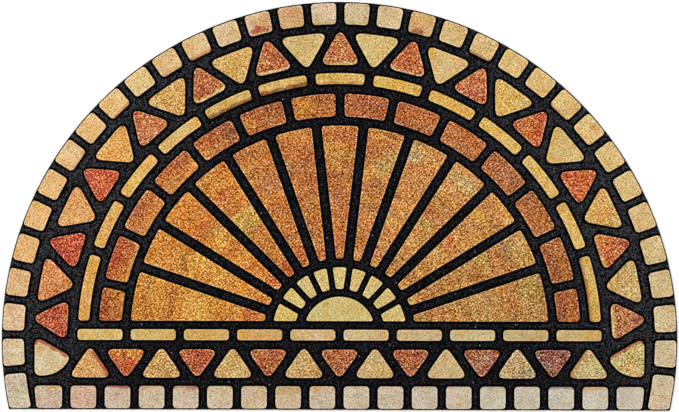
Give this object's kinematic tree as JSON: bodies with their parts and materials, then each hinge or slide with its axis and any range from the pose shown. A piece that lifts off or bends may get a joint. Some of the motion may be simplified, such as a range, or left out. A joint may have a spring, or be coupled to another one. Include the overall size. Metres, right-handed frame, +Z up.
{
  "type": "doormat",
  "caption": "Half-round moulded rubber doormat with raised flocked tiles: a sunburst of rays over a half sun, framed by bands of bricks, bars, triangles and squares.",
  "frame": {"origin": "on the floor under the middle of the mat's box", "axes": "+X along the straight edge to the right, +Y from the straight edge to the crown, +Z up from the floor"},
  "size_m": [0.914, 0.552, 0.008],
  "materials": {
    "crumb_rubber": "matt moulded recycled rubber",
    "printed_flock": "short matt polyester flock, printed in cream, gold, rust and red"
  },
  "bodies": {
    "root": {"mat": "crumb_rubber"}
  },
  "joints": []
}
